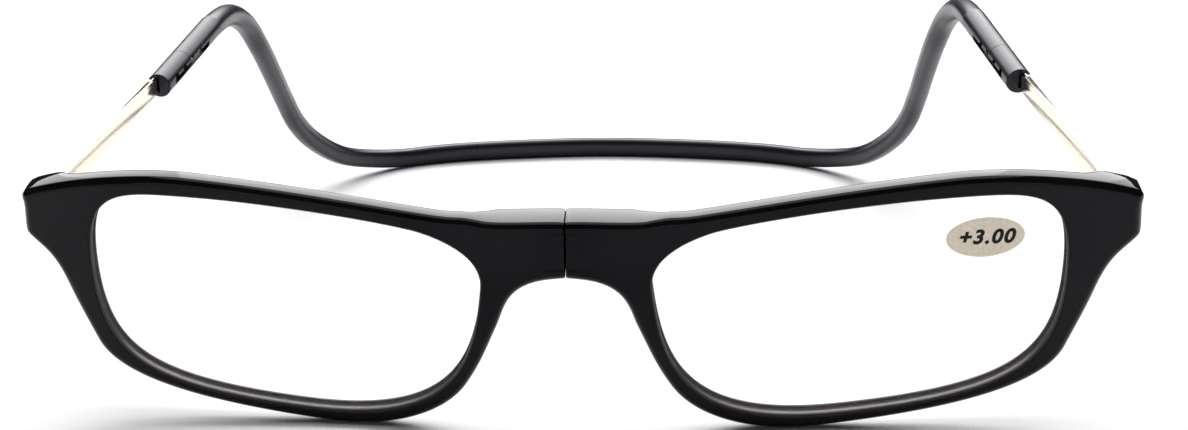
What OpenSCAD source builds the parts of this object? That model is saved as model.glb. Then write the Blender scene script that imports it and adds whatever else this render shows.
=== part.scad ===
// Reading glasses that part at the nose and hang from a one-piece neckband.
// X runs to the viewer's right, Y to the back and Z up; the glasses stand on Z = 0, leaning back.

/* [Front] */
// Width of one lens opening
lens_w = 50.4; // [46:0.2:55]
// Height of one lens opening
lens_h = 29.6; // [26:0.2:33]
// Distance between the two lens openings
lens_gap = 21.2; // [20:0.2:25]
// Depth of the rims, front to back
rim_depth = 3.3; // [3.1:0.1:4]
// Depth of the bridge
bridge_depth = 5.2; // [5:0.1:5.4]
// Depth of the end pieces over the hinges
end_depth = 4.6; // [4.4:0.1:5]
// Radius of the outer edges
edge_r = 1; // [0.9:0.05:1.05]
// Width of the slit between the halves
seam_gap = 0.5; // [0.4:0.05:0.8]
// Radius of the sideways wrap of the front
wrap_r = 230; // [210:5:280]

/* [Lenses] */
// Thickness of a lens
lens_t = 1.5; // [1.2:0.1:1.6]
// Depth of the groove that holds a lens
groove_depth = 0.5; // [0.4:0.05:0.6]
// Clearance of a lens in its groove
lens_fit = 0.05; // [0.03:0.01:0.08]
// Length of the power sticker
sticker_l = 9.6; // [7:0.1:11]
// Height of the power sticker
sticker_h = 5.4; // [4:0.1:6]

/* [Clasp] */
// Diameter of a magnet
magnet_d = 3; // [2.6:0.1:3.2]
// Length of a magnet
magnet_l = 3.4; // [2.6:0.1:3.8]
// Wall of the steel cup around a magnet
cup_wall = 0.3; // [0.2:0.05:0.4]
// Depth of the magnet face behind the slit
magnet_recess = 0.15; // [0.1:0.05:0.3]

/* [Hinges] */
// Diameter of the hinge screw
screw_d = 1.1; // [1:0.05:1.3]
// Radius of the hinge knuckles
knuckle_r = 1.3; // [1.2:0.05:1.4]
// Running clearance of the arm on the screw
pin_fit = 0.04; // [0.02:0.01:0.08]
// Height of the middle knuckle
knuckle_h = 1.94; // [1.7:0.02:2.2]

/* [Arms] */
// Thickness of an arm strip
strip_t = 0.8; // [0.7:0.05:0.9]
// Height of an arm strip at the hinge
strip_front_h = 2.8; // [2.4:0.1:3]
// Rise of an arm strip behind the hinge
strip_rise = 0.9; // [0:0.1:1.2]
// Offset of an arm strip to the outer side of the hinge pin
strip_shift = 0.45; // [0.3:0.05:0.5]
// Height of an arm strip inside the neckband
strip_tail_h = 2; // [1.8:0.05:2.1]
// Toe-in angle of the arms
toe_in = 8.8; // [7.5:0.1:10]
// Distance from the hinge pin to the mouth of the neckband
reach = 38; // [34:0.5:42]
// Length of strip inside the neckband
overlap = 13.2; // [12.8:0.2:14]

/* [Neckband] */
// Diameter of the neckband at its ends
tube_d = 3.6; // [3.5:0.05:3.8]
// Height of the neckband at the back
back_d = 3.5; // [3.3:0.05:3.6]
// Thickness of the neckband at the back
back_w = 3; // [2.8:0.05:3.4]
// Length of the hollow, straight end
channel_l = 22; // [22:0.1:26]
// Clearance of an arm in its channel
channel_fit = 0.15; // [0.12:0.01:0.2]
// Length of the guide bush at the mouth
guide_l = 8.6; // [8.2:0.1:9]
// Distance between two click notches
click_pitch = 3.2; // [3:0.1:3.4]
// Distance from the end of the channel to the back of the loop
loop_l = 88.2; // [80:0.2:98]

/* [Stance] */
// Lean of the whole pair as it stands on a table
lean = 13.3; // [11:0.1:15]

/* [Hidden] */
$fn = 48;
in_x = lens_gap / 2;
out_x = in_x + lens_w;
top_z = 4.35;
low_z = top_z - lens_h;
mid_x = in_x + lens_w / 2;
mid_z = top_z - lens_h / 2;
bend = lens_w / 50.4;
seam_x = seam_gap / 2;
bridge_mid_z = top_z - 6.05;
lens_seat = 1.3;
inner_r = 0.4;
inner_bevel = 0.7;
pin_x = out_x + 5.9;
pin_y = wrap_y(pin_x) + end_depth - 0.4;
pin_z = top_z - 5.65;
knuckle_gap = 0.06;
leaf_h = knuckle_h / 2 + knuckle_gap + 1.1;
pocket_r = knuckle_r + 0.3;
cup_r = magnet_d / 2 + cup_wall;
cup_l = magnet_l + cup_wall;
slot_x = strip_t / 2 + channel_fit;
slot_z = strip_tail_h / 2 + channel_fit;
tail_s = reach + overlap;
click_s = tail_s - 3.7;
end_s = reach + channel_l;

// Outlines. A knot holds x, z, direction and the pull of the curve before and after it.
opening_knots = [
  [in_x, top_z - 11.05, 96, 12.7 * bend, 5.3],
  [in_x + 8, top_z - 3.15, 14.5, 1, 6 * bend],
  [mid_x + 10.6, top_z, 0, 10.2 * bend, 10.1 * bend],
  [out_x, top_z - 11.8, -90, 11.8, 13.6],
  [in_x + 23.1 * bend, low_z, 184, 21.8 * bend, 18.4 * bend]
];
outer_knots = [
  [seam_x, top_z - 2.1, 4, 1, 2.3],
  [in_x - 0.7, top_z - 2, 13, 1.5, 4.2],
  [in_x + 5.9, top_z - 1.15, 9, 4.2, 9.1 * bend],
  [mid_x + 11, top_z + 2.4, 2.5, 12.4 * bend, 6.9 * bend],
  [out_x + 7.3, top_z - 1.1, -22, 5.3, 2.2],
  [out_x + 8.8, top_z - 3.2, -95, 0.6, 1.1],
  [out_x + 8.95, top_z - 6.8, -91, 0.9, 0.6],
  [out_x + 7.8, top_z - 8.8, -139, 1.8, 2.2],
  [out_x + 4, top_z - 14.8, -108, 3.8, 2.4],
  [out_x + 1, low_z + 7, -112, 3.7, 6.2],
  [in_x + 20.8 * bend, low_z - 2.15, 185, 17 * bend, 9.9 * bend],
  [in_x + 2.4, low_z + 4, 123, 4.5, 3.6],
  [in_x - 1.9, top_z - 16.7, 113, 4.1, 2.8],
  [seam_x, top_z - 10, 179, 7.4, 1]
];

function wrap_y(x) = pow(max(abs(x) - 10, 0), 2) / (2 * wrap_r);
function smooth(t) = let (c = min(max(t, 0), 1)) c * c * (3 - 2 * c);
function depth_at(x) = rim_depth
  + (bridge_depth - rim_depth) * smooth((in_x + 2 - x) / 5)
  + (end_depth - rim_depth) * smooth((x - out_x - 1) / 3.5);
function lens_y(x, z) = wrap_y(x) + lens_seat
  + (pow(x - mid_x, 2) + pow(z - mid_z, 2)) / 2400;

function aim(a) = [cos(a), sin(a)];
function pt(k) = [k[0], k[1]];
function bez(a, b, t) = let (
    p = pt(a), q = pt(a) + a[4] * aim(a[2]),
    r = pt(b) - b[3] * aim(b[2]), s = pt(b), u = 1 - t)
  u * u * u * p + 3 * u * u * t * q + 3 * u * t * t * r + t * t * t * s;
function steps(a, b) = max(3, ceil(norm(pt(b) - pt(a)) / 2.1));
function curve(k, last) = [for (i = [0:last]) let (a = k[i], b = k[(i + 1) % len(k)], n = steps(a, b))
  for (j = [0:n - 1]) bez(a, b, j / n)];

// Loops run clockwise, so a positive offset goes to the right-hand side, into the loop.
outer = concat(curve(outer_knots, len(outer_knots) - 2),
  [for (j = [0:3]) [seam_x, top_z - 10 + j * 2]]);
opening = curve(opening_knots, len(opening_knots) - 1);

function offset_loop(p, d) = [for (i = [0:len(p) - 1]) let (
    a = p[(i + len(p) - 1) % len(p)], b = p[i], c = p[(i + 1) % len(p)],
    u = (b - a) / norm(b - a), v = (c - b) / norm(c - b),
    m = [u[1], -u[0]], n = [v[1], -v[0]])
  b + d * (m + n) / (1 + m * n)];

// The point of the opening that faces a point of the outer edge, seen from the lens centre.
function facing(p) = [p[0] < in_x - 2 ? in_x - 2 - (in_x - 2 - p[0]) * 0.1 : p[0], p[1]];
function cross2(a, b) = a[0] * b[1] - a[1] * b[0];
function on_opening(q) = let (c = [mid_x, mid_z], d = facing(q) - c)
  [for (i = [0:len(opening) - 1]) let (
      a = opening[i] - c, b = opening[(i + 1) % len(opening)] - c)
    if (cross2(a, d) <= 0 && cross2(b, d) > 0 && (a + b) * d > 0)
      c + d * cross2(a, b) / cross2(d, b - a)][0];
inner = [for (p = outer) on_opening(p)];

// Quarter round of the edges: [offset, depth] in edge radii. Behind the lens the wall is bevelled.
quarter = [for (i = [0:3]) [1 - sin(i * 30), 1 - cos(i * 30)]];

function ring_front(loop, d, y) = [for (p = offset_loop(loop, d)) [p[0], wrap_y(p[0]) + y, p[1]]];
function ring_back(loop, d, y) = [for (p = offset_loop(loop, d)) [p[0], wrap_y(p[0]) + depth_at(p[0]) - y, p[1]]];
function ring_lens(loop, d, y) = [for (p = offset_loop(loop, d)) [p[0], lens_y(p[0], p[1]) + y, p[1]]];
groove_half = lens_t / 2 + lens_fit;
rings = concat(
  [for (q = quarter) ring_front(outer, edge_r * q[0], edge_r * q[1])],
  [for (i = [3:-1:0]) ring_back(outer, edge_r * quarter[i][0], edge_r * quarter[i][1])],
  [ring_back(inner, -inner_bevel, 0), ring_lens(inner, 0, groove_half + 0.25),
   ring_lens(inner, 0, groove_half), ring_lens(inner, -groove_depth, groove_half),
   ring_lens(inner, -groove_depth, -groove_half), ring_lens(inner, 0, -groove_half)],
  [for (q = [quarter[3], quarter[2], quarter[0]]) ring_front(inner, -inner_r * q[0], inner_r * q[1])]
);

// Stance: the rims touch the table and the whole pair is centred front to back.
rim_points = [for (r = [0:7]) for (p = rings[r]) p];
lift = -min([for (p = rim_points) p[1] * sin(lean) + p[2] * cos(lean)]);
front_y = min([for (p = rim_points) p[1] * cos(lean) - p[2] * sin(lean)]);
function lean_pt(p) = [p[0], p[1] * cos(lean) - p[2] * sin(lean), lift + p[1] * sin(lean) + p[2] * cos(lean)];
function on_arm(s) = [pin_x - s * sin(toe_in), pin_y + s * cos(toe_in), pin_z];
loop_start = lean_pt(on_arm(end_s));
back_y = loop_start[1] + loop_l + back_d / 2;
centre_y = -(front_y + back_y) / 2;

module stand() {
  translate([0, centre_y, lift])
    rotate([lean, 0, 0])
      children();
}

module arm_frame() {
  stand()
    translate([pin_x, pin_y, pin_z])
      rotate([0, 0, toe_in])
        children();
}

module tube_through(rings) {
  n = len(rings[0]);
  m = len(rings);
  polyhedron(
    points = [for (r = rings) for (p = r) p],
    faces = [for (i = [0:m - 1]) for (j = [0:n - 1]) for (h = [0, 1]) let (
        a = i * n + j, b = i * n + (j + 1) % n,
        c = ((i + 1) % m) * n + (j + 1) % n, d = ((i + 1) % m) * n + j)
      h == 0 ? [a, b, c] : [a, c, d]]
  );
}

// Half of the front: rim, end piece and half the bridge in one moulding.
module front_half() {
  difference() {
    tube_through(rings);
    // Pocket for the magnet cup, open at the slit
    translate([seam_x - 1, bridge_depth / 2, bridge_mid_z])
      rotate([0, 90, 0])
        cylinder(r = cup_r + 0.02, h = 1 + magnet_recess + cup_l + 0.05);
    // Pocket for the knuckles and the head of the screw, open at the back
    translate([pin_x, pin_y, pin_z - leaf_h - 0.25])
      cylinder(r = pocket_r, h = 2 * leaf_h + 1);
    // Slot that the arm lies in when the pair is folded
    translate([out_x - 4, pin_y - strip_t / 2 - 0.3, pin_z - strip_front_h / 2 - 0.25])
      cube([pin_x - out_x + 4, 6, strip_front_h + 0.5]);
    // Seat for the hinge leaf
    translate([pin_x - 0.53, pin_y - 3.13, pin_z - leaf_h - 0.03])
      cube([1.06, 3.13, 2 * leaf_h + 0.06]);
  }
}

// Lens: a thin disc, slightly domed, with its edge in the groove.
module lens() {
  edge = offset_loop(opening, -(groove_depth - lens_fit));
  n = len(edge);
  scales = [1, 0.75, 0.5, 0.25];
  c = [mid_x, mid_z];
  half = [for (s = scales) for (p = edge) c + s * (p - c)];
  m = len(half);
  face = concat([for (p = half) [p[0], lens_y(p[0], p[1]) - lens_t / 2, p[1]]],
    [[c[0], lens_y(c[0], c[1]) - lens_t / 2, c[1]]]);
  back = [for (p = face) p + [0, lens_t, 0]];
  polyhedron(
    points = concat(face, back),
    faces = concat(
      [for (r = [0:2]) for (j = [0:n - 1]) for (h = [0:3]) let (
          a = r * n + j, b = r * n + (j + 1) % n, d = b + n, e = a + n, k = m + 1)
        h == 0 ? [a, d, b] : h == 1 ? [a, e, d] : h == 2 ? [a + k, b + k, d + k] : [a + k, d + k, e + k]],
      [for (j = [0:n - 1]) [3 * n + j, m, 3 * n + (j + 1) % n]],
      [for (j = [0:n - 1]) [3 * n + j + m + 1, 3 * n + (j + 1) % n + m + 1, 2 * m + 1]],
      [for (j = [0:n - 1]) for (h = [0, 1]) let (a = j, b = (j + 1) % n, k = m + 1)
        h == 0 ? [a, b, b + k] : [a, b + k, a + k]]
    )
  );
}

// Sticker: an oval of film that follows the face of the lens.
module sticker() {
  n = 32;
  turn = -3;
  c = [in_x + 40 * bend, top_z - 5.9];
  oval = [for (s = [1, 0.5]) for (i = [0:n - 1]) let (
      a = -i * 360 / n, u = s * sticker_l / 2 * cos(a), v = s * sticker_h / 2 * sin(a))
    [c[0] + u * cos(turn) - v * sin(turn), c[1] + u * sin(turn) + v * cos(turn)]];
  m = len(oval);
  outside = lens_t / 2 + 0.12;
  face = concat([for (p = oval) [p[0], lens_y(p[0], p[1]) - outside, p[1]]],
    [[c[0], lens_y(c[0], c[1]) - outside, c[1]]]);
  back = [for (p = face) p + [0, 0.1, 0]];
  k = m + 1;
  polyhedron(
    points = concat(face, back),
    faces = concat(
      [for (j = [0:n - 1]) for (h = [0:3]) let (a = j, b = (j + 1) % n, d = b + n, e = a + n)
        h == 0 ? [a, d, b] : h == 1 ? [a, e, d] : h == 2 ? [a + k, b + k, d + k] : [a + k, d + k, e + k]],
      [for (j = [0:n - 1]) [n + j, m, n + (j + 1) % n]],
      [for (j = [0:n - 1]) [n + j + k, n + (j + 1) % n + k, m + k]],
      [for (j = [0:n - 1]) for (h = [0, 1]) let (a = j, b = (j + 1) % n)
        h == 0 ? [a, b, b + k] : [a, b + k, a + k]]
    )
  );
}

// Magnet and its steel cup, pressed into the end of the bridge half.
module magnet() {
  translate([seam_x + magnet_recess, bridge_depth / 2, bridge_mid_z])
    rotate([0, 90, 0])
      cylinder(d = magnet_d, h = magnet_l);
}

module magnet_cup() {
  translate([seam_x + magnet_recess, bridge_depth / 2, bridge_mid_z])
    rotate([0, 90, 0])
      difference() {
        cylinder(r = cup_r, h = cup_l);
        translate([0, 0, -1])
          cylinder(d = magnet_d, h = 1 + magnet_l);
      }
}

// Hinge leaf: a plate in the end piece with an upper and a lower knuckle.
module hinge_leaf() {
  translate([pin_x, pin_y, pin_z])
    difference() {
      union() {
        translate([0, 0, -leaf_h])
          cylinder(r = knuckle_r, h = 2 * leaf_h);
        translate([-0.5, -3.1, -leaf_h])
          cube([1, 3.1, 2 * leaf_h]);
      }
      translate([0, 0, -knuckle_h / 2 - knuckle_gap])
        cylinder(r = knuckle_r + 0.25, h = knuckle_h + 2 * knuckle_gap);
      translate([0, 0, -leaf_h - 1])
        cylinder(d = screw_d + 0.02, h = 2 * leaf_h + 2);
    }
}

// Hinge screw: a shank with a slotted head on top.
module hinge_screw() {
  translate([pin_x, pin_y, pin_z])
    difference() {
      union() {
        translate([0, 0, -leaf_h + 0.05])
          cylinder(d = screw_d, h = 2 * leaf_h);
        translate([0, 0, leaf_h + 0.02])
          cylinder(r = screw_d / 2 + 0.35, h = 0.45);
      }
      translate([-2, -0.12, leaf_h + 0.3])
        cube([4, 0.24, 1]);
    }
}

// Arm: a metal strip with the middle knuckle at its front end.
module arm() {
  arm_frame()
    difference() {
      union() {
        translate([0, 0, -knuckle_h / 2])
          cylinder(r = knuckle_r, h = knuckle_h);
        translate([strip_shift + strip_t / 2, 0, 0])
          rotate([90, 0, -90])
            linear_extrude(height = strip_t)
              arm_side();
      }
      translate([0, 0, -2])
        cylinder(r = screw_d / 2 + pin_fit, h = 4);
    }
}

module arm_side() {
  neck = min(knuckle_h, strip_front_h) / 2;
  front = strip_front_h / 2;
  tail = strip_tail_h / 2;
  polygon([
    [-0.2, neck], [-1.7, neck], [-2.4, front], [-7, front + 0.8 * strip_rise], [-13, front + strip_rise],
    [2 - reach, tail + 0.6], [0.8 - reach, tail], [0.5 - tail_s, tail], [-tail_s, tail - 0.5],
    [-tail_s, 0.5 - tail], [0.5 - tail_s, -tail], [0.8 - reach, -tail], [2 - reach, -tail - 0.15],
    [-13, strip_rise - front], [-7, 0.6 * strip_rise - front], [-2.4, -front], [-1.7, -neck], [-0.2, -neck]
  ]);
}

// Click lug: a small bead fixed to the inner face of the arm's tail, in the window.
module click() {
  arm_frame()
    translate([strip_shift - strip_t / 2, click_s, -0.35])
      rotate([0, -90, 0])
        cylinder(d = 0.9, h = 0.9);
}

// Cuts for the strip: the channel and the lengthwise mouth on its outer side.
module channel_cut(from, to) {
  translate([strip_shift - slot_x, from, -slot_z])
    cube([2 * slot_x, to - from, 2 * slot_z]);
  translate([strip_shift, from, -slot_z * 0.8])
    cube([tube_d, to - from, slot_z * 1.6]);
}

// Cuts for the click lug: the window on the inner side and the notches along its upper edge.
module window_cut() {
  first = click_s - 2 * click_pitch;
  translate([-tube_d, first - 0.75, -1])
    cube([tube_d, 2 * click_pitch + 7.85, 1.15]);
  for (i = [0:3])
    translate([-tube_d, first + i * click_pitch - 0.6, 0])
      cube([tube_d, 1.2, 0.6]);
}

// Guide bush: the C-shaped mouth piece that the arm slides through.
module guide() {
  arm_frame()
    difference() {
      translate([0, reach, 0])
        rotate([-90, 0, 0])
          cylinder(d = tube_d, h = guide_l);
      channel_cut(reach - 1, reach + guide_l + 1);
      window_cut();
    }
}

// Straight end of the neckband with the channel, the window and the notches.
module band_end() {
  arm_frame()
    difference() {
      translate([0, reach + guide_l, 0])
        rotate([-90, 0, 0])
          cylinder(d = tube_d, h = channel_l - guide_l);
      channel_cut(reach + guide_l - 1, end_s - 1.2);
      window_cut();
    }
}

// Loop: shares of the start width and the start height, and the way back from the start.
loop_shape = [
  [0.991, 0.12, 1], [0.976, 0.22, 0.929], [0.962, 0.303, 0.796], [0.956, 0.4, 0.638],
  [0.952, 0.498, 0.477], [0.938, 0.57, 0.337], [0.905, 0.645, 0.215], [0.845, 0.74, 0.098],
  [0.764, 0.83, 0.032], [0.65, 0.9, 0], [0.489, 0.95, 0], [0.248, 0.985, 0], [0, 1, 0]
];
loop_dir = [-sin(toe_in), cos(toe_in) * cos(lean), cos(toe_in) * sin(lean)];
loop_side = concat([loop_start - 8 * loop_dir, loop_start - 0.6 * loop_dir],
  [for (k = loop_shape) [loop_start[0] * k[0], loop_start[1] + loop_l * k[1],
    back_d / 2 + (loop_start[2] - back_d / 2) * k[2]]]);
loop_knots = concat(loop_side,
  [for (i = [len(loop_side) - 2:-1:0]) [-loop_side[i][0], loop_side[i][1], loop_side[i][2]]]);

function spline(p, i, t) = let (a = p[i - 1], b = p[i], c = p[i + 1], d = p[i + 2])
  0.5 * (2 * b + (c - a) * t + (2 * a - 5 * b + 4 * c - d) * t * t + (3 * b - a - 3 * c + d) * t * t * t);
loop_path = [for (i = [1:len(loop_knots) - 3]) for (j = [0:4]) spline(loop_knots, i, j / 5)];
loop_full = concat(loop_path, [loop_knots[len(loop_knots) - 2]]);
function unit(v) = v / norm(v);
function fuller(v, k) = sign(v) * pow(abs(v), k);

module band_loop() {
  n = 20;
  last = len(loop_full) - 1;
  rings = [for (i = [0:last]) let (
      a = loop_full[max(i - 1, 0)], b = loop_full[min(i + 1, last)],
      t = unit(b - a), side = unit(cross(t, [0, 0, 1])), up = cross(side, t),
      share = smooth(sin(180 * i / last)),
      full = 1 - 0.25 * share, r = (tube_d - 0.04) / 2,
      rs = r + (back_w / 2 - r) * share, ru = r + (back_d / 2 - r) * share,
      q = loop_full[i], c = [q[0], q[1], max(q[2], ru)])
    [for (k = [0:n - 1]) c + rs * fuller(sin(360 * k / n), full) * side
      - ru * fuller(cos(360 * k / n), full) * up]];
  count = len(rings);
  translate([0, centre_y, 0])
    polyhedron(
      points = [for (r = rings) for (p = r) p],
      faces = concat(
        [for (i = [0:count - 2]) for (j = [0:n - 1]) for (h = [0, 1]) let (
            a = i * n + j, b = i * n + (j + 1) % n, c = b + n, d = a + n)
          h == 0 ? [a, b, c] : [a, c, d]],
        [for (j = [1:n - 2]) [0, j + 1, j]],
        [for (j = [1:n - 2]) let (o = (count - 1) * n) [o, o + j, o + j + 1]]
      )
    );
}

module mirrored() {
  mirror([1, 0, 0])
    children();
}

module front_right() {
  color([0.02, 0.02, 0.025])
    stand()
      front_half();
}

module front_left() {
  color([0.02, 0.02, 0.025])
    mirrored()
      stand()
        front_half();
}

module lens_right() {
  color([0.93, 0.95, 0.95, 0.3])
    stand()
      lens();
}

module lens_left() {
  color([0.93, 0.95, 0.95, 0.3])
    mirrored()
      stand()
        lens();
}

module power_sticker() {
  color([0.75, 0.72, 0.67])
    stand()
      sticker();
}

module magnet_right() {
  color([0.7, 0.7, 0.72])
    stand()
      magnet();
}

module magnet_left() {
  color([0.7, 0.7, 0.72])
    mirrored()
      stand()
        magnet();
}

module magnet_cup_right() {
  color([0.55, 0.55, 0.57])
    stand()
      magnet_cup();
}

module magnet_cup_left() {
  color([0.55, 0.55, 0.57])
    mirrored()
      stand()
        magnet_cup();
}

module hinge_leaf_right() {
  color([0.6, 0.6, 0.6])
    stand()
      hinge_leaf();
}

module hinge_leaf_left() {
  color([0.6, 0.6, 0.6])
    mirrored()
      stand()
        hinge_leaf();
}

module hinge_screw_right() {
  color([0.65, 0.65, 0.66])
    stand()
      hinge_screw();
}

module hinge_screw_left() {
  color([0.65, 0.65, 0.66])
    mirrored()
      stand()
        hinge_screw();
}

module arm_right() {
  color([0.92, 0.88, 0.78])
    arm();
}

module arm_left() {
  color([0.92, 0.88, 0.78])
    mirrored()
      arm();
}

module click_right() {
  color([0.5, 0.5, 0.5])
    click();
}

module click_left() {
  color([0.5, 0.5, 0.5])
    mirrored()
      click();
}

module guide_right() {
  color([0.03, 0.03, 0.035])
    guide();
}

module guide_left() {
  color([0.03, 0.03, 0.035])
    mirrored()
      guide();
}

module neckband() {
  color([0.03, 0.03, 0.035])
    union() {
      band_end();
      mirrored()
        band_end();
      band_loop();
    }
}

front_left();
front_right();
lens_left();
lens_right();
power_sticker();
magnet_left();
magnet_right();
magnet_cup_left();
magnet_cup_right();
hinge_leaf_left();
hinge_leaf_right();
hinge_screw_left();
hinge_screw_right();
arm_left();
arm_right();
click_left();
click_right();
guide_left();
guide_right();
neckband();
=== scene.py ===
import math

import bmesh
import bpy
from mathutils import Matrix, Vector


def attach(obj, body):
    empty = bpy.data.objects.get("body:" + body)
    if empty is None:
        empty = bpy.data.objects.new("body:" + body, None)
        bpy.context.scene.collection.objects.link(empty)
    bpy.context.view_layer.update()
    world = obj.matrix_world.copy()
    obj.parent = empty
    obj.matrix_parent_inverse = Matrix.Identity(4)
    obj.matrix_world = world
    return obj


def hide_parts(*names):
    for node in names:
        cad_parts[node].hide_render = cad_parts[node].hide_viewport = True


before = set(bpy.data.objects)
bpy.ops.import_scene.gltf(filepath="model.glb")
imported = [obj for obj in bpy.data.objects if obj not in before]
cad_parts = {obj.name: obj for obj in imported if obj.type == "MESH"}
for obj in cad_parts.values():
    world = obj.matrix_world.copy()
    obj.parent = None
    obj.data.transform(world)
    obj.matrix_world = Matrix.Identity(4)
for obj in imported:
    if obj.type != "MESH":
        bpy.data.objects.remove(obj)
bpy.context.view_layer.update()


# Table and lamps. The glasses stand on a matte white table top. Five softboxes side by side, above
# and behind them and brightest in the middle, light the table and lay a pale sheen on every upper
# surface. A lamp overhead and a low card in front are weak, and the room is dark.
def finish(name):
    material = bpy.data.materials.new(name)
    material.use_nodes = True
    return material, material.node_tree, material.node_tree.nodes["Principled BSDF"].inputs


def grain(tree, scale, detail, stretch=None):
    place = tree.nodes.new("ShaderNodeTexCoord").outputs["Object"]
    if stretch:
        pulled = tree.nodes.new("ShaderNodeMapping")
        pulled.inputs["Scale"].default_value = stretch
        tree.links.new(place, pulled.inputs["Vector"])
        place = pulled.outputs["Vector"]
    noise = tree.nodes.new("ShaderNodeTexNoise")
    noise.inputs["Scale"].default_value = scale
    noise.inputs["Detail"].default_value = detail
    tree.links.new(place, noise.inputs["Vector"])
    return noise.outputs["Fac"]


def dented(tree, pattern, strength, distance, socket):
    bump = tree.nodes.new("ShaderNodeBump")
    bump.inputs["Strength"].default_value = strength
    bump.inputs["Distance"].default_value = distance
    tree.links.new(pattern, bump.inputs["Height"])
    tree.links.new(bump.outputs["Normal"], socket)


table_white, tree, surface = finish("table_white")
dented(tree, grain(tree, 900.0, 3.0), 0.04, 0.0001, surface["Normal"])
surface["Base Color"].default_value = (0.94, 0.94, 0.95, 1.0)
surface["Roughness"].default_value = 0.75

bm = bmesh.new()
bmesh.ops.create_grid(bm, x_segments=1, y_segments=1, size=3.0)
mesh = bpy.data.meshes.new("table_top")
bm.to_mesh(mesh)
bm.free()
mesh.materials.append(table_white)
table_top = bpy.data.objects.new("table_top", mesh)
bpy.context.collection.objects.link(table_top)

room = bpy.data.worlds.new("room")
room.use_nodes = True
room.node_tree.nodes["Background"].inputs["Color"].default_value = (1.0, 1.0, 1.0, 1.0)
room.node_tree.nodes["Background"].inputs["Strength"].default_value = 0.03
bpy.context.scene.world = room
bpy.context.scene.view_settings.view_transform = "Standard"
bpy.context.scene.view_settings.look = "None"


def lamp(name, where, target, size, power):
    data = bpy.data.lights.new(name, "AREA")
    data.shape = "RECTANGLE"
    data.size, data.size_y = size
    data.energy = power
    thing = bpy.data.objects.new(name, data)
    bpy.context.collection.objects.link(thing)
    thing.location = where
    thing.rotation_euler = (Vector(target) - Vector(where)).to_track_quat("-Z", "Y").to_euler()


box_y, box_z, box_h = 1.25, 1.15, 1.1
for name, x, width, glow in (
    ("centre", 0.0, 0.9, 6.6),
    ("inner_left", -0.7, 0.5, 4.6), ("inner_right", 0.7, 0.5, 4.6),
    ("outer_left", -1.3, 0.7, 3.0), ("outer_right", 1.3, 0.7, 3.0),
):
    lamp("softbox_" + name, (x, box_y, box_z), (x, 0.0, 0.0), (width, box_h), glow * math.pi * width * box_h)
lamp("overhead", (0.0, 0.1, 1.5), (0.0, 0.0, 0.0), (1.4, 0.9), 9.0)
lamp("front_card", (0.0, -2.0, 0.19), (0.0, 0.0, 0.05), (3.2, 0.40), 6.5)

# Camera at the photograph's place. Its place, turn and focal length in pixels were fitted to the
# outlines of both halves and of the neckband, and sight is the pixel that it looks straight at.
picture_w, picture_h, focal = 1188.0, 430.0, 2083.1
sight_x, sight_y = 444.5, 217.8
eye = Vector((0.01231, -0.32293, 0.09482))
yaw, pitch, roll = -0.10990, 0.26076, 0.02696
forward = Vector((math.sin(yaw) * math.cos(pitch), math.cos(yaw) * math.cos(pitch), -math.sin(pitch)))
level = Vector((math.cos(yaw), -math.sin(yaw), 0.0))
down = forward.cross(level)
across = math.cos(roll) * level + math.sin(roll) * down
drop = -math.sin(roll) * level + math.cos(roll) * down
camera_data = bpy.data.cameras.new("camera")
camera_data.sensor_width = 36.0
camera_data.lens = camera_data.sensor_width * focal / picture_w
camera_data.shift_x = (picture_w / 2 - sight_x) / picture_w
camera_data.shift_y = (sight_y - picture_h / 2) / picture_w
camera = bpy.data.objects.new("camera", camera_data)
bpy.context.collection.objects.link(camera)
camera.matrix_world = Matrix((
    (across.x, -drop.x, -forward.x, eye.x),
    (across.y, -drop.y, -forward.y, eye.y),
    (across.z, -drop.z, -forward.z, eye.z),
    (0.0, 0.0, 0.0, 1.0),
))
bpy.context.scene.camera = camera

# Front halves. Each is one injection moulding of glossy black plastic: the rim round the lens,
# the end piece over the hinge and half of the bridge, polished in the mould. The groove for the
# lens is cut, with the slopes beside it, and left matt. Sizes are in millimetres from here on.
lens_w, lens_h, lens_gap = 50.4, 29.6, 21.2
in_x = lens_gap / 2
out_x = in_x + lens_w
top_z = 4.35
low_z = top_z - lens_h
mid_x, mid_z = in_x + lens_w / 2, top_z - lens_h / 2
seam_x = 0.01
rim_depth, bridge_depth, end_depth = 3.3, 5.2, 4.6
bridge_fade, end_fade = 5, 3.5
wrap_flat, wrap_r = 10, 230
lens_seat, lens_t, lens_bulge = 1.3, 1.5, 2400
edge_r, edge_inset, inner_r = 1.0, 0.03, 0.4
slope_start, slope_end, slope_low, slope_rise = 0.9, 0.75, 0.08, 0.3
groove_depth, groove_half = 0.5, 0.8
pin_x, pin_y, pin_z = 66.9, 11.2383, -1.3
leaf_bore_r, leaf_bore_h, leaf_bore_z = 1.6, 5.26, pin_z + 0.25
arm_gap_size, arm_gap_x, arm_gap_y = (9.9, 6, 3.3), out_x + 0.95, pin_y + 2.225
cup_bore_r, cup_bore_l, cup_bore_x, magnet_z = 1.82, 1.41, -0.3, top_z - 6.05
lean = math.radians(13.3)
lift, centre_y = 26.3985, -79.2328

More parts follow.
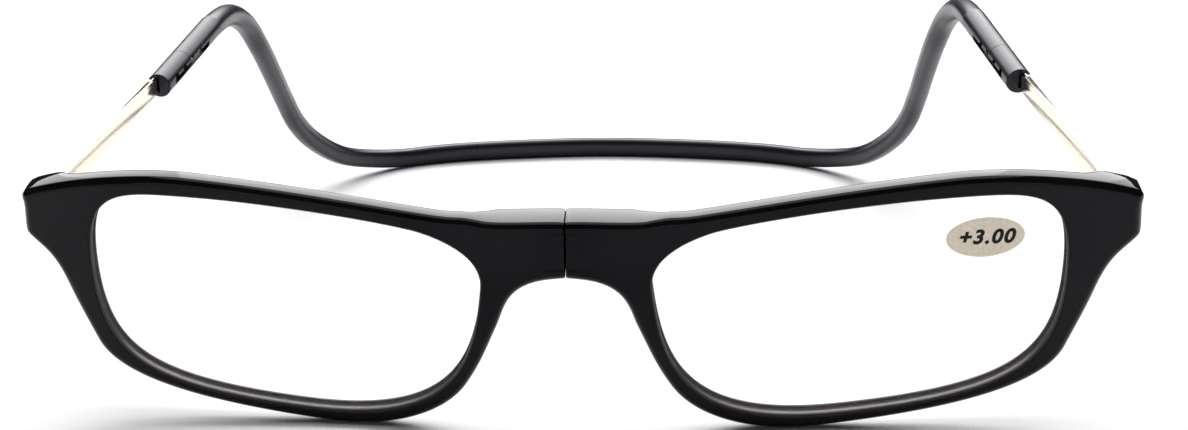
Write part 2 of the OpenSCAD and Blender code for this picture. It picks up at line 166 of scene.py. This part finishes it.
# A knot is x, z, the direction of the line in degrees, and its pull before and after the knot.
opening_knots = [
    (in_x, top_z - 11.05, 96, 12.7, 5.3), (in_x + 8, top_z - 3.15, 14.5, 1, 6),
    (mid_x + 10.6, top_z, 0, 10.2, 10.1), (out_x, top_z - 11.8, -90, 11.8, 13.6),
    (in_x + 23.1, low_z, 184, 21.8, 18.4),
]
outer_knots = [
    (seam_x + 0.24, top_z - 2.1, 4, 1, 2), (in_x - 0.7, top_z - 2, 13, 1.5, 4.2),
    (in_x + 5.9, top_z - 1.15, 9, 4.2, 9.1), (mid_x + 11, top_z + 2.4, 2.5, 12.4, 6.9),
    (out_x + 7.3, top_z - 1.1, -22, 5.3, 2.2), (out_x + 8.8, top_z - 3.2, -95, 0.6, 1.1),
    (out_x + 8.95, top_z - 6.8, -91, 0.9, 0.6), (out_x + 7.8, top_z - 8.8, -139, 1.8, 2.2),
    (out_x + 4, top_z - 14.8, -108, 3.8, 2.4), (out_x + 1, low_z + 7, -112, 3.7, 6.2),
    (in_x + 20.8, low_z - 2.15, 185, 17, 9.9), (in_x + 2.4, low_z + 4, 123, 4.5, 3.6),
    (in_x - 1.9, top_z - 16.7, 113, 4.1, 2.8), (seam_x + 0.3, top_z - 10, 179, 7.1, 1),
]


def drawn(knots, closed, step):
    line = []
    for i in range(len(knots) if closed else len(knots) - 1):
        a, b = knots[i], knots[(i + 1) % len(knots)]
        p, s = Vector(a[:2]), Vector(b[:2])
        q = p + a[4] * Vector((math.cos(math.radians(a[2])), math.sin(math.radians(a[2]))))
        r = s - b[3] * Vector((math.cos(math.radians(b[2])), math.sin(math.radians(b[2]))))
        count = max(3, math.ceil((s - p).length / step))
        for j in range(count):
            t = j / count
            u = 1 - t
            line.append(u * u * u * p + 3 * u * u * t * q + 3 * u * t * t * r + t * t * t * s)
    return line


def ease(t):
    t = min(max(t, 0), 1)
    return t * t * (3 - 2 * t)


def wrap(x):
    return max(abs(x) - wrap_flat, 0) ** 2 / (2 * wrap_r)


def depth(x):
    bridge = (bridge_depth - rim_depth) * ease((in_x + 2 - x) / bridge_fade)
    return rim_depth + bridge + (end_depth - rim_depth) * ease((x - out_x - 1) / end_fade)


def lens_middle(x, z):
    return wrap(x) + lens_seat + ((x - mid_x) ** 2 + (z - mid_z) ** 2) / lens_bulge


def outwards(line, i):
    along = (line[(i + 1) % len(line)] - line[i - 1]).normalized()
    return Vector((-along.y, along.x))


# The point of the opening that faces a point of the outline, seen from the middle of the lens,
# and the direction from it into the plastic. The bridge gathers at the inner side of the opening.
def facing(line, p):
    if p.x < in_x - 2:
        p = Vector((in_x - 2 - (in_x - 2 - p.x) * 0.1, p.y))
    centre = Vector((mid_x, mid_z))
    d = p - centre
    for i in range(len(line)):
        j = (i + 1) % len(line)
        a, b = line[i] - centre, line[j] - centre
        if a.x * d.y - a.y * d.x <= 0 < b.x * d.y - b.y * d.x and (a + b).dot(d) > 0:
            e = b - a
            q = d * ((a.x * b.y - a.y * b.x) / (d.x * e.y - d.y * e.x))
            t = (q - a).length / e.length
            return centre + q, outwards(line, i).lerp(outwards(line, j), t).normalized()
    raise ValueError("the rim and the opening don't face each other")


# The section of the moulding at a point of the outline. A spot is a point of the front, what its
# depth is counted from (0 the face, 1 the back, 2 the middle of the lens), and that depth. Beside
# the slit the edge is rounded only a little sideways, so the two halves meet in a thin line.
quarter = [math.radians(15 * k) for k in range(7)]
steps = (0.03, 0.35, 0.65, 0.97, 1)


def section(line, i):
    p, (q, away) = line[i], facing(opening, line[i])
    pull = -outwards(line, i)
    if p.x < seam_x + 0.4:
        pull = Vector((0.15, -1 if p.y > top_z - 3 else 1 if p.y < top_z - 9 else 0))
    spots = [(p + edge_r * (1 + edge_inset - math.sin(a)) * pull, 0, edge_r * (1 - math.cos(a))) for a in quarter]
    spots += [(a, 1, -y) for a, base, y in reversed(spots)]
    spots += [(spots[-1][0].lerp(q + slope_start * away, t), 1, 0) for t in steps]
    spots += [(q + slope_end * away, 1, -slope_low), (q, 2, lens_t / 2 + slope_rise)]
    spots += [(q + out * away, 2, y) for out, y in (
        (0, groove_half), (groove_depth, groove_half), (groove_depth, -groove_half), (0, -groove_half))]
    spots += [(q + inner_r * (1 - math.sin(a)) * away, 0, inner_r * (1 - math.cos(a))) for a in reversed(quarter)]
    spots += [(spots[-1][0].lerp(spots[0][0], t), 0, 0) for t in steps]
    return [Vector((a.x, y + (wrap(a.x), wrap(a.x) + depth(a.x), lens_middle(a.x, a.y))[base], a.y))
            for a, base, y in spots]


first_cut, last_cut = 20, 29


def points(made):
    return [g for g in made if isinstance(g, bmesh.types.BMVert)]


def next_ring(bm, loop, edges):
    made = bmesh.ops.extrude_edge_only(bm, edges=edges)["geom"]
    fresh = set(points(made))
    edges = [g for g in made if isinstance(g, bmesh.types.BMEdge) and set(g.verts) <= fresh]
    loop = [e.other_vert(v) for v in loop for e in v.link_edges if e.other_vert(v) in fresh]
    return loop, edges, [g for g in made if isinstance(g, bmesh.types.BMFace)]


# Leans a piece back with the whole front, sets it on the table and turns its sizes into metres.
# Pieces are drawn for the right side, and side -1 mirrors one to the left.
def stand(bm, side):
    bmesh.ops.rotate(bm, verts=bm.verts, cent=(0, 0, 0), matrix=Matrix.Rotation(lean, 3, "X"))
    bmesh.ops.translate(bm, verts=bm.verts, vec=(0, centre_y, lift))
    bmesh.ops.scale(bm, verts=bm.verts, vec=(0.001 * side, 0.001, 0.001))
    bmesh.ops.recalc_face_normals(bm, faces=bm.faces)


def piece(name, bm, material, body, smooth=35):
    mesh = bpy.data.meshes.new(name)
    bm.to_mesh(mesh)
    bm.free()
    mesh.materials.append(material)
    mesh.shade_smooth()
    mesh.set_sharp_from_angle(angle=math.radians(smooth))
    thing = bpy.data.objects.new(name, mesh)
    bpy.context.collection.objects.link(thing)
    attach(thing, body)
    return thing


def carved(thing, cutters, smooth):
    for cutter in cutters:
        mesh = bpy.data.meshes.new("cutter")
        cutter.to_mesh(mesh)
        cutter.free()
        tool = bpy.data.objects.new("cutter", mesh)
        bpy.context.collection.objects.link(tool)
        cut = thing.modifiers.new("cut", "BOOLEAN")
        cut.operation = "DIFFERENCE"
        cut.solver = "EXACT"
        cut.object = tool
        result = bpy.data.meshes.new_from_object(thing.evaluated_get(bpy.context.evaluated_depsgraph_get()))
        thing.modifiers.clear()
        thing.data = result
        bpy.data.objects.remove(tool)
    thing.data.shade_smooth()
    thing.data.set_sharp_from_angle(angle=math.radians(smooth))


def shaded(tree, pattern, dark, light, socket, start=0.0, end=1.0):
    ramp = tree.nodes.new("ShaderNodeValToRGB")
    ends = ramp.color_ramp.elements
    ends[0].position, ends[1].position = start, end
    ends[0].color, ends[1].color = (*dark, 1.0), (*light, 1.0)
    tree.links.new(pattern, ramp.inputs["Fac"])
    tree.links.new(ramp.outputs["Color"], socket)


def spread(tree, pattern, low, high, socket, start=0.0, end=1.0):
    scale = tree.nodes.new("ShaderNodeMapRange")
    for name, value in (("From Min", start), ("From Max", end), ("To Min", low), ("To Max", high)):
        scale.inputs[name].default_value = value
    tree.links.new(pattern, scale.inputs["Value"])
    tree.links.new(scale.outputs["Result"], socket)


black_plastic, tree, surface = finish("black_plastic")
flow = grain(tree, 90.0, 3.0)
shaded(tree, flow, (0.0035, 0.0033, 0.0042), (0.0066, 0.006, 0.0068), surface["Base Color"], 0.35, 0.65)
spread(tree, grain(tree, 420.0, 5.0), 0.03, 0.07, surface["Roughness"], 0.3, 0.8)
dented(tree, flow, 0.12, 0.0002, surface["Normal"])
surface["Specular Tint"].default_value = (0.22, 0.21, 0.23, 1.0)
surface["IOR"].default_value = 1.5

cut_plastic, tree, surface = finish("cut_plastic")
scrape = grain(tree, 700.0, 4.0)
shaded(tree, scrape, (0.018, 0.015, 0.014), (0.045, 0.036, 0.033), surface["Base Color"])
spread(tree, scrape, 0.4, 0.6, surface["Roughness"])
surface["IOR"].default_value = 1.4

# The outline runs round the half and closes along the slit, where both corners are rounded.
opening = drawn(opening_knots, True, 0.6)
rim_line = drawn(outer_knots, False, 0.7)
rim_line += [Vector((seam_x + 0.1, top_z - 9.93)), Vector((seam_x, top_z - 9.7))]
rim_line += [Vector((seam_x, top_z - 9.2 + 0.75 * k)) for k in range(9)]
rim_line += [Vector((seam_x, top_z - 2.36)), Vector((seam_x + 0.07, top_z - 2.17))]
sections = [section(rim_line, i) for i in range(len(rim_line))]
for side, label in ((-1, "left"), (1, "right")):
    bm = bmesh.new()
    loop = [bm.verts.new(spots[0]) for spots in sections]
    edges = [bm.edges.new((loop[i - 1], loop[i])) for i in range(len(loop))]
    for k in range(1, len(sections[0])):
        loop, edges, faces = next_ring(bm, loop, edges)
        for face in faces:
            face.material_index = int(first_cut <= k <= last_cut)
        for v, spots in zip(loop, sections):
            v.co = spots[k]
    bmesh.ops.remove_doubles(bm, verts=bm.verts, dist=0.001)
    stand(bm, side)
    front = piece("front_half_" + label, bm, black_plastic, "front_" + label)
    front.data.materials.append(cut_plastic)

    leaf_bore, arm_gap, cup_bore = bmesh.new(), bmesh.new(), bmesh.new()
    bmesh.ops.create_cone(
        leaf_bore, cap_ends=True, segments=64, radius1=leaf_bore_r, radius2=leaf_bore_r, depth=leaf_bore_h,
        matrix=Matrix.Translation((pin_x, pin_y, leaf_bore_z)))
    bmesh.ops.create_cube(
        arm_gap, size=1,
        matrix=Matrix.Translation((arm_gap_x, arm_gap_y, pin_z)) @ Matrix.Diagonal((*arm_gap_size, 1)))
    bmesh.ops.create_cone(
        cup_bore, cap_ends=True, segments=64, radius1=cup_bore_r, radius2=cup_bore_r, depth=cup_bore_l,
        matrix=Matrix.Translation((cup_bore_x, bridge_depth / 2, magnet_z))
        @ Matrix.Rotation(math.radians(90), 4, "Y"))
    for cutter in (leaf_bore, arm_gap, cup_bore):
        stand(cutter, side)
    carved(front, (leaf_bore, arm_gap, cup_bore), 40)
    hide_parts("front_" + label)

# Lenses. Clear plastic discs, cut to the opening and sprung into the groove in the rim. Their
# edge is ground, not polished, and shows as a brownish line inside the rim.
lens_lap, edge_band = 0.4, 0.8

clear_lens, tree, surface = finish("clear_lens")
spread(tree, grain(tree, 60.0, 4.0), 0.01, 0.06, surface["Roughness"])
sheen = tree.nodes.new("ShaderNodeFresnel")
sheen.inputs["IOR"].default_value = 1.3
spread(tree, sheen.outputs["Fac"], 0.02, 0.7, surface["Alpha"])
surface["Base Color"].default_value = (0.93, 0.96, 0.96, 1.0)
surface["IOR"].default_value = 1.5

ground_edge, tree, surface = finish("ground_edge")
shaded(tree, grain(tree, 700.0, 3.0), (0.08, 0.062, 0.056), (0.2, 0.16, 0.145), surface["Base Color"])
surface["Roughness"].default_value = 0.3
surface["Alpha"].default_value = 0.8

for side, label in ((-1, "left"), (1, "right")):
    bm = bmesh.new()
    verts = []
    for i, p in enumerate(opening):
        edge = p + lens_lap * outwards(opening, i)
        verts.append(bm.verts.new((edge.x, 0, edge.y)))
    disc = bm.faces.new(verts)
    for face in bmesh.ops.inset_region(bm, faces=[disc], thickness=edge_band)["faces"]:
        face.material_index = 1
    middle = bmesh.ops.poke(bm, faces=[disc])["verts"][0]
    middle.co = (mid_x, 0, mid_z)
    bmesh.ops.subdivide_edges(bm, edges=list(middle.link_edges), cuts=6, use_grid_fill=True)
    back = set(points(bmesh.ops.extrude_face_region(bm, geom=bm.faces[:])["geom"]))
    for face in bm.faces:
        if 0 < len(back & set(face.verts)) < len(face.verts):
            face.material_index = 1
    for v in bm.verts:
        v.co.y = lens_middle(v.co.x, v.co.z) + (lens_t / 2 if v in back else -lens_t / 2)
    stand(bm, side)
    lens = piece("lens_disc_" + label, bm, clear_lens, "front_" + label)
    lens.data.materials.append(ground_edge)
    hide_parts("lens_" + label)

# Power sticker. A thin oval of silvery film on the face of one lens, printed in black ink with
# the power of the lens. It is peeled off before use.
sticker_l, sticker_h, sticker_turn = 9.6, 5.4, math.radians(-3)
sticker_x, sticker_z = in_x + 40.1, top_z - 5.85
print_x, print_z = sticker_x + 0.28, sticker_z + 0.05
film_near, film_far, print_gap = 0.02, 0.1, 0.105


def turned_to_lens(bm, x, z):
    bmesh.ops.rotate(bm, verts=bm.verts, cent=(0, 0, 0), matrix=Matrix.Rotation(sticker_turn, 3, "Z"))
    bmesh.ops.rotate(bm, verts=bm.verts, cent=(0, 0, 0), matrix=Matrix.Rotation(math.radians(90), 3, "X"))
    bmesh.ops.translate(bm, verts=bm.verts, vec=(x, 0, z))


silver_film, tree, surface = finish("silver_film")
shaded(tree, grain(tree, 2600.0, 4.0), (0.74, 0.65, 0.52), (0.9, 0.81, 0.68), surface["Base Color"], 0.3, 0.75)
surface["Metallic"].default_value = 0.1
surface["Roughness"].default_value = 0.45

bm = bmesh.new()
bmesh.ops.create_circle(bm, cap_ends=True, cap_tris=True, segments=72, radius=1)
middle = min(bm.verts, key=lambda v: v.co.length)
bmesh.ops.subdivide_edges(bm, edges=list(middle.link_edges), cuts=3, use_grid_fill=True)
bmesh.ops.scale(bm, verts=bm.verts, vec=(sticker_l / 2, sticker_h / 2, 1))
turned_to_lens(bm, sticker_x, sticker_z)
near = set(points(bmesh.ops.extrude_face_region(bm, geom=bm.faces[:])["geom"]))
for v in bm.verts:
    v.co.y = lens_middle(v.co.x, v.co.z) - lens_t / 2 - (film_near if v in near else film_far)
stand(bm, 1)
film = piece("power_film", bm, silver_film, "front_right")
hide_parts("power_sticker")

sticker_ink, tree, surface = finish("sticker_ink")
shaded(tree, grain(tree, 5000.0, 2.0), (0.004, 0.004, 0.004), (0.02, 0.02, 0.02), surface["Base Color"])
surface["Roughness"].default_value = 0.6
surface["Specular IOR Level"].default_value = 0.15

power = bpy.data.curves.new("power", "FONT")
power.body = "+3.00"
power.size = 2.65
power.shear = 0.14
power.offset = 0.1
power.space_character = 1.14
power.align_x = "CENTER"
power.align_y = "CENTER"
power.extrude = 0.01
holder = bpy.data.objects.new("power", power)
bpy.context.collection.objects.link(holder)
flat = bpy.data.meshes.new_from_object(holder.evaluated_get(bpy.context.evaluated_depsgraph_get()))
bpy.data.objects.remove(holder)
bm = bmesh.new()
bm.from_mesh(flat)
bmesh.ops.remove_doubles(bm, verts=bm.verts, dist=0.0005)
low = Vector([min(v.co[i] for v in bm.verts) for i in range(3)])
high = Vector([max(v.co[i] for v in bm.verts) for i in range(3)])
bmesh.ops.translate(bm, verts=bm.verts, vec=-(low + high) / 2)
turned_to_lens(bm, print_x, print_z)
for v in bm.verts:
    v.co.y += lens_middle(v.co.x, v.co.z) - lens_t / 2 - print_gap
stand(bm, 1)
piece("power_print", bm, sticker_ink, "front_right")

# Magnets and their steel cups, pressed into the end of each bridge half behind the slit.
# The magnet is nickel plated and ground on its face; the cup is drawn from thin sheet.
nickel, tree, surface = finish("nickel")
spread(tree, grain(tree, 3000.0, 6.0), 0.14, 0.34, surface["Roughness"])
surface["Base Color"].default_value = (0.72, 0.71, 0.7, 1.0)
surface["Metallic"].default_value = 1.0


def refinished(parts, material):
    for part in parts:
        for label in ("left", "right"):
            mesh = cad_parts[part + label].data
            mesh.materials.clear()
            mesh.materials.append(material)


refinished(("magnet_", "magnet_cup_"), nickel)

# Hinges. A turned steel leaf with two knuckles sits in the end piece, and a slotted screw goes
# down through both and through the arm's own knuckle. The click lug is a pin of the same steel.
hinge_steel, tree, surface = finish("hinge_steel")
spread(tree, grain(tree, 2400.0, 4.0, (0.3, 0.3, 3.0)), 0.22, 0.42, surface["Roughness"])
surface["Base Color"].default_value = (0.52, 0.51, 0.5, 1.0)
surface["Metallic"].default_value = 1.0
refinished(("hinge_leaf_", "hinge_screw_", "click_"), hinge_steel)

# Arms. A flat strip of polished, slightly warm metal, tapered towards its tail, with the
# middle knuckle of the hinge at its front end; the tail slides in the neckband.
toe_in = math.radians(8.8)
strip_t, strip_shift, strip_rise = 0.8, 0.45, 0.9
reach, overlap = 38.0, 13.2
tail_s = reach + overlap
knuckle_h, knuckle_r, screw_r = 1.94, 1.3, 0.59
strip_front, strip_tail, strip_round = 1.4, 1.0, 0.16

warm_metal, tree, surface = finish("warm_metal")
polish = grain(tree, 900.0, 6.0, (1.0, 0.08, 1.0))
shaded(tree, polish, (0.84, 0.77, 0.62), (0.93, 0.87, 0.75), surface["Base Color"])
spread(tree, polish, 0.1, 0.24, surface["Roughness"])
surface["Metallic"].default_value = 1.0


def at_hinge(bm):
    bmesh.ops.rotate(bm, verts=bm.verts, cent=(0, 0, 0), matrix=Matrix.Rotation(toe_in, 3, "Z"))
    bmesh.ops.translate(bm, verts=bm.verts, vec=(pin_x, pin_y, pin_z))


# The strip from the side: the distance from the screw, and the height.
half = knuckle_h / 2
profile = [
    (0.9, half), (1.7, half), (2.4, strip_front), (7, strip_front + 0.8 * strip_rise),
    (13, strip_front + strip_rise), (reach - 2, strip_tail + 0.6), (reach - 0.8, strip_tail),
    (tail_s - 0.5, strip_tail), (tail_s, strip_tail - 0.5), (tail_s, 0.5 - strip_tail),
    (tail_s - 0.5, -strip_tail), (reach - 0.8, -strip_tail), (reach - 2, -strip_tail - 0.15),
    (13, strip_rise - strip_front), (7, 0.6 * strip_rise - strip_front), (2.4, -strip_front),
    (1.7, -half), (0.9, -half),
]
for side, label in ((-1, "left"), (1, "right")):
    bm = bmesh.new()
    blank = bm.faces.new([bm.verts.new((strip_shift - strip_t / 2, s, z)) for s, z in profile])
    other_face = points(bmesh.ops.extrude_face_region(bm, geom=[blank])["geom"])
    bmesh.ops.translate(bm, vec=(strip_t, 0, 0), verts=other_face)
    long_edges = [e for e in bm.edges if abs(e.verts[0].co.x - e.verts[1].co.x) < 0.01
                  and min(v.co.y for v in e.verts) > 0.95]
    bmesh.ops.bevel(bm, geom=long_edges, offset=strip_round, offset_type="OFFSET", segments=3, profile=0.5,
                    affect="EDGES", material=-1)
    rings = set()
    for r in (screw_r, knuckle_r):
        rings |= set(bmesh.ops.create_circle(
            bm, segments=48, radius=r, matrix=Matrix.Translation((0, 0, -half)))["verts"])
    knuckle = bmesh.ops.bridge_loops(bm, edges=[e for e in bm.edges if set(e.verts) <= rings])["faces"]
    top = points(bmesh.ops.extrude_face_region(bm, geom=knuckle)["geom"])
    bmesh.ops.translate(bm, vec=(0, 0, knuckle_h), verts=top)
    at_hinge(bm)
    stand(bm, side)
    arm = piece("arm_strip_" + label, bm, warm_metal, "arm_" + label)
    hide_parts("arm_" + label)

# Guide bushes and neckband. The band is one long moulding of flexible black plastic, hollow
# and straight at its two ends, with a bush pressed into each mouth to guide the arm. A window
# with four notches is cut through bush and band, and the arm's lug clicks along it.
tube_r, back_w, back_h = 1.8, 1.5, 1.75
channel_l, guide_l, lip_round = 22.0, 8.6, 0.12
end_s = reach + channel_l
channel_end = end_s - 1.2
slot_x, slot_z = strip_t / 2 + 0.15, strip_tail + 0.15
click_pitch = 3.2
first_notch = tail_s - 3.7 - 2 * click_pitch
notch_half, notch_h = 0.6, 0.6
window_start, window_end = first_notch - 0.75, first_notch + 2 * click_pitch + 7.1
window_low, window_high = -1, 0.15
loop_l, loop_inset = 88.2, 0.02

band_plastic, tree, surface = finish("band_plastic")
skin = grain(tree, 260.0, 5.0)
shaded(tree, skin, (0.009, 0.0085, 0.013), (0.014, 0.013, 0.02), surface["Base Color"])
spread(tree, skin, 0.24, 0.34, surface["Roughness"])
surface["IOR"].default_value = 1.55
surface["Specular Tint"].default_value = (0.5, 0.5, 0.55, 1.0)


def tube_end(name, start, length, side):
    bm = bmesh.new()
    bmesh.ops.create_cone(
        bm, cap_ends=True, segments=72, radius1=tube_r, radius2=tube_r, depth=length,
        matrix=Matrix.Translation((0, start + length / 2, 0)) @ Matrix.Rotation(math.radians(90), 4, "X"))
    lip = [e for e in bm.edges if max(len(f.verts) for f in e.link_faces) > 4 and e.verts[0].co.y < start + 0.1]
    bmesh.ops.bevel(bm, geom=lip, offset=lip_round, offset_type="OFFSET", segments=3, profile=0.5,
                    affect="EDGES", material=-1)
    for s in (0.2, 0.9, length / 2, length - 0.9, length - 0.2):
        bmesh.ops.bisect_plane(bm, geom=bm.verts[:] + bm.edges[:] + bm.faces[:],
                               plane_co=(0, start + s, 0), plane_no=(0, 1, 0))
    at_hinge(bm)
    stand(bm, side)
    return piece(name, bm, band_plastic, "neckband")


# What is cut from bush and band is a block from its low corner to its high one, along the arm.
def block(low, high, side):
    bm = bmesh.new()
    size = [b - a for a, b in zip(low, high)]
    middle = [(a + b) / 2 for a, b in zip(low, high)]
    bmesh.ops.create_cube(bm, size=1, matrix=Matrix.Translation(middle) @ Matrix.Diagonal((*size, 1)))
    at_hinge(bm)
    stand(bm, side)
    return bm


channel = ((strip_shift - slot_x, reach - 1, -slot_z), (strip_shift + slot_x, channel_end, slot_z))
open_side = ((strip_shift, reach - 2, -slot_z * 0.8), (4, channel_end, slot_z * 0.8))
window = ((-4, window_start, window_low), (0, window_end, window_high))
notches = [((-4, s - notch_half, 0), (0, s + notch_half, notch_h))
           for s in (first_notch + i * click_pitch for i in range(4))]
for side, label in ((-1, "left"), (1, "right")):
    bush = tube_end("guide_bush_" + label, reach, guide_l, side)
    end = tube_end("band_end_" + label, reach + guide_l, channel_l - guide_l, side)
    for thing in (bush, end):
        carved(thing, [block(low, high, side) for low, high in (channel, open_side, window, *notches)], 35)
    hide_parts("guide_" + label)

# The loop's line, as shares of the ends' distance from the middle, of its length and of its drop.
# It starts just inside the straight end, and a knot further in gives it that end's direction.
shape = [
    (0.991, 0.12, 1), (0.976, 0.22, 0.929), (0.962, 0.303, 0.796), (0.956, 0.4, 0.638),
    (0.952, 0.498, 0.477), (0.938, 0.57, 0.337), (0.905, 0.645, 0.215), (0.845, 0.74, 0.098),
    (0.764, 0.83, 0.032), (0.65, 0.9, 0), (0.489, 0.95, 0), (0.248, 0.985, 0), (0, 1, 0),
]
tilt = Matrix.Rotation(lean, 3, "X")
along = tilt @ Vector((-math.sin(toe_in), math.cos(toe_in), 0))
begin = tilt @ Vector((pin_x, pin_y, pin_z)) + end_s * along + Vector((0, 0, lift))
knots = [begin - 8 * along, begin - 0.6 * along]
knots += [Vector((begin.x * a, begin.y + loop_l * b, back_h + (begin.z - back_h) * c)) for a, b, c in shape]
knots += [Vector((-k.x, k.y, k.z)) for k in reversed(knots[:-1])]
path = []
for i in range(1, len(knots) - 2):
    a, b, c, d = knots[i - 1:i + 3]
    for t in (j / 10 for j in range(10)):
        path.append(0.5 * (2 * b + (c - a) * t + (2 * a - 5 * b + 4 * c - d) * t * t
                           + (3 * b - a - 3 * c + d) * t ** 3))
path.append(knots[-2])

bm = bmesh.new()
loop = bmesh.ops.create_circle(bm, segments=40, radius=1)["verts"]
edges = bm.edges[:]
for i, p in enumerate(path):
    ahead = (path[min(i + 1, len(path) - 1)] - path[max(i - 1, 0)]).normalized()
    out = ahead.cross(Vector((0, 0, 1))).normalized()
    up = out.cross(ahead)
    share = ease(math.sin(math.pi * i / (len(path) - 1)))
    end_r, full = tube_r - loop_inset, 1 - 0.25 * share
    wide, high = (end_r + (r - end_r) * share for r in (back_w, back_h))
    middle = Vector((p.x, p.y, max(p.z, high)))
    if i:
        loop, edges, faces = next_ring(bm, loop, edges)
    for k, v in enumerate(loop):
        angle = 2 * math.pi * k / len(loop)
        c, s = (math.copysign(abs(f(angle)) ** full, f(angle)) for f in (math.cos, math.sin))
        v.co = middle + wide * s * out - high * c * up
bmesh.ops.holes_fill(bm, edges=[e for e in bm.edges if e.is_boundary])
bmesh.ops.translate(bm, verts=bm.verts, vec=(0, centre_y, 0))
bmesh.ops.scale(bm, verts=bm.verts, vec=(0.001, 0.001, 0.001))
bmesh.ops.recalc_face_normals(bm, faces=bm.faces)
band = piece("band_loop", bm, band_plastic, "neckband", 50)
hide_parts("neckband")
